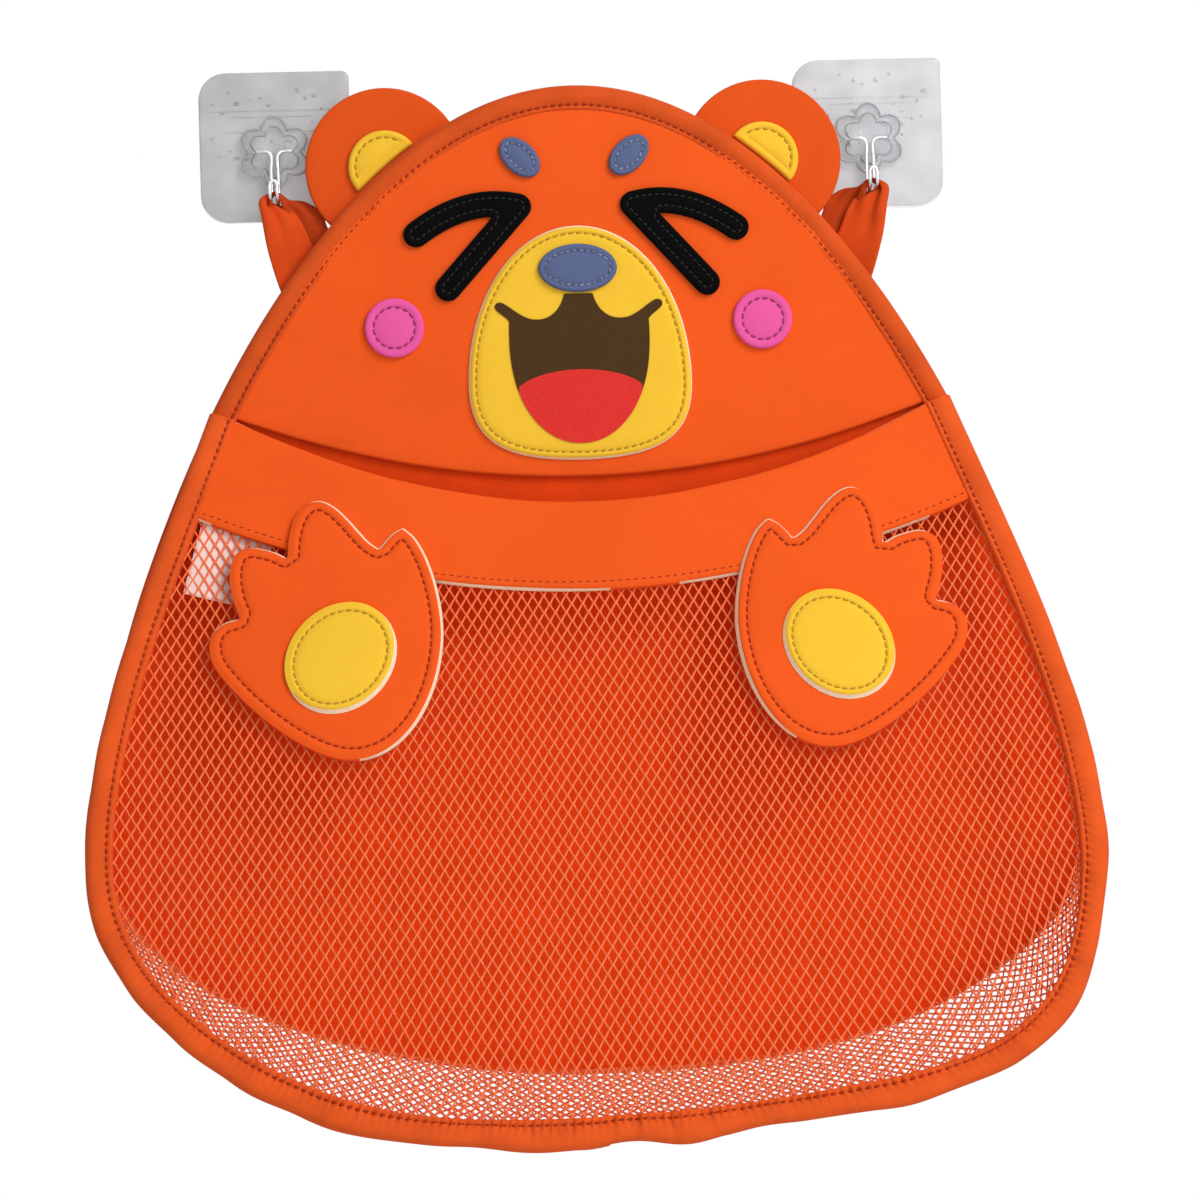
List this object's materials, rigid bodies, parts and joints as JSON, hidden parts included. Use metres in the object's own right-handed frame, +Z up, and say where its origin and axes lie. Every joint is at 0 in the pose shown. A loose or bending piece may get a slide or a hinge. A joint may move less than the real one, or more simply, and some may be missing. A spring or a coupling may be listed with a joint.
{
  "type": "bath toy organizer",
  "caption": "Hanging bear-shaped bath toy bag with a net front, neoprene head and paws, sewn hanging straps and clear adhesive wire hooks.",
  "frame": {"origin": "on the wall, midway between the centres of the two adhesive hook plates", "axes": "+Z up the wall, +X across to the viewer's right, +Y into the wall, so that the bag's front faces -Y"},
  "size_m": [0.3886, 0.1025, 0.4165],
  "materials": {
    "clear_plastic": "clear, glossy",
    "hook_wire": "bright",
    "strap_ribbon": "woven, matte",
    "lining": "woven, matte",
    "orange_neoprene": "matte knit face",
    "binding_tape": "woven, matte",
    "yellow_neoprene": "matte knit face",
    "slate_neoprene": "matte knit face",
    "black_neoprene": "matte knit face",
    "pink_neoprene": "matte knit face",
    "net_thread": "knitted net",
    "white_ribbon": "woven, matte"
  },
  "bodies": {
    "wall_hooks": {"hook_plate_left": "clear_plastic", "hook_plate_right": "clear_plastic", "hook_boss_left": "clear_plastic", "hook_boss_right": "clear_plastic"},
    "left_hook_wire": {"hook_wire_left": "hook_wire"},
    "right_hook_wire": {"hook_wire_right": "hook_wire"},
    "bag": {"strap_left": "strap_ribbon", "strap_right": "strap_ribbon", "back_panel": "lining", "head_panel": "orange_neoprene", "head_binding": "binding_tape", "ear_left": "orange_neoprene", "ear_right": "orange_neoprene", "inner_ear_left": "yellow_neoprene", "inner_ear_right": "yellow_neoprene", "brow_left": "slate_neoprene", "brow_right": "slate_neoprene", "eye_left": "black_neoprene", "eye_right": "black_neoprene", "cheek_left": "pink_neoprene", "cheek_right": "pink_neoprene", "muzzle": "yellow_neoprene", "nose": "slate_neoprene", "chest_band": "orange_neoprene", "front_net": "net_thread", "lower_binding": "binding_tape", "gusset_net": "net_thread", "paw_left": "orange_neoprene", "paw_right": "orange_neoprene", "paw_pad_left": "yellow_neoprene", "paw_pad_right": "yellow_neoprene", "label_tab": "white_ribbon"}
  },
  "joints": [
    {"name": "left_hook_swing", "type": "hinge", "parent": "wall_hooks", "child": "left_hook_wire", "pos_m": [0, -0.0065, -0.0025], "axis": [-1, 0, 0], "range_deg": [0, 9]},
    {"name": "right_hook_swing", "type": "hinge", "parent": "wall_hooks", "child": "right_hook_wire", "pos_m": [0, -0.0065, -0.0025], "axis": [-1, 0, 0], "range_deg": [0, 9]},
    {"name": "bag_swing", "type": "hinge", "parent": "left_hook_wire", "child": "bag", "pos_m": [0, -0.012, -0.0187], "axis": [-1, 0, 0], "range_deg": [0, 6]}
  ],
  "couplings": [
    {"joint": "right_hook_swing", "follows": "left_hook_swing", "ratio": 1}
  ]
}
